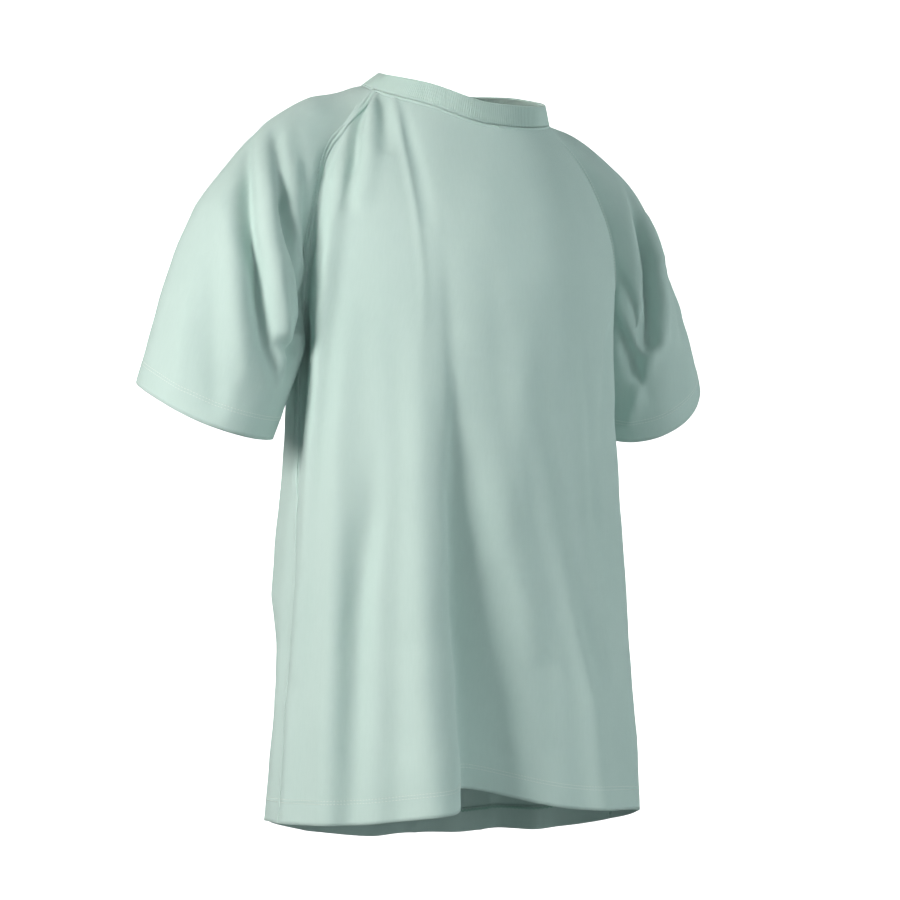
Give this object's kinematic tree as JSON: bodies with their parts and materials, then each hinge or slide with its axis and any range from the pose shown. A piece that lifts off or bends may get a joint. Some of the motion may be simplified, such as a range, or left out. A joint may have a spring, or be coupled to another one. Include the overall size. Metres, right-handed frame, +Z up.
{
  "type": "patient gown",
  "caption": "Short-sleeved pull-on patient gown in knitted cotton, with raglan sleeves, ribbed neck band and folded hems.",
  "frame": {"origin": "middle of the neck seam, where the gown bears on the wearer's neck and shoulders", "axes": "+Z up, -Y the way the gown faces, +X the wearer's left"},
  "size_m": [0.6608, 0.2988, 0.7884],
  "materials": {
    "cloth": "fine single-jersey knit, matt",
    "rib": "one-by-one rib knit, matt",
    "thread": "spun sewing thread",
    "label": "plain woven tape, blank"
  },
  "bodies": {
    "root": {"front_panel": "cloth", "back_panel": "cloth", "left_sleeve": "cloth", "right_sleeve": "cloth", "neck_tape": "cloth", "neck_band": "rib", "neck_seam": "thread", "left_front_raglan_seam": "thread", "right_front_raglan_seam": "thread", "left_back_raglan_seam": "thread", "right_back_raglan_seam": "thread", "left_side_seam": "thread", "right_side_seam": "thread", "left_underarm_seam": "thread", "right_underarm_seam": "thread", "body_hem_stitching": "thread", "left_sleeve_hem_stitching": "thread", "right_sleeve_hem_stitching": "thread", "size_label": "label", "care_label": "label"}
  },
  "joints": []
}
